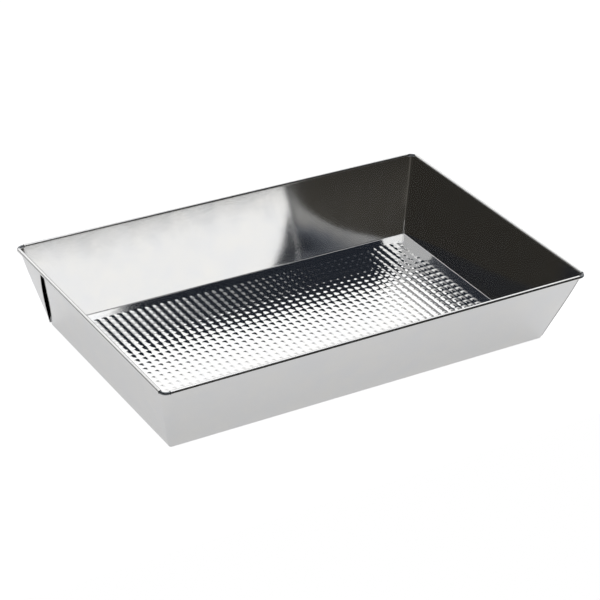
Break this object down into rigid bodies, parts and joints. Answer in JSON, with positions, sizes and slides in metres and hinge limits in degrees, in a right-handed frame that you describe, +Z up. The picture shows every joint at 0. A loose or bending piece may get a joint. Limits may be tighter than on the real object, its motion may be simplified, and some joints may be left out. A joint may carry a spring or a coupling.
{
  "type": "paint roller tray",
  "caption": "Shallow rectangular tray folded from one sheet of tinplate, with flared walls, an embossed waffle floor and a rim rolled over a steel wire.",
  "frame": {"origin": "centre of the flat base, on the plane that it rests on", "axes": "+X along the long side, +Y across, +Z up out of the open top"},
  "size_m": [0.4, 0.2574, 0.0686],
  "materials": {
    "tinplate": "bright rolled tinplate with a fine speckled grain, nearly a mirror, faintly wavy between the folds",
    "rim_wire_steel": "drawn steel wire, dull grey"
  },
  "bodies": {
    "root": {"tray_body": "tinplate", "rim_wire": "rim_wire_steel"}
  },
  "joints": []
}
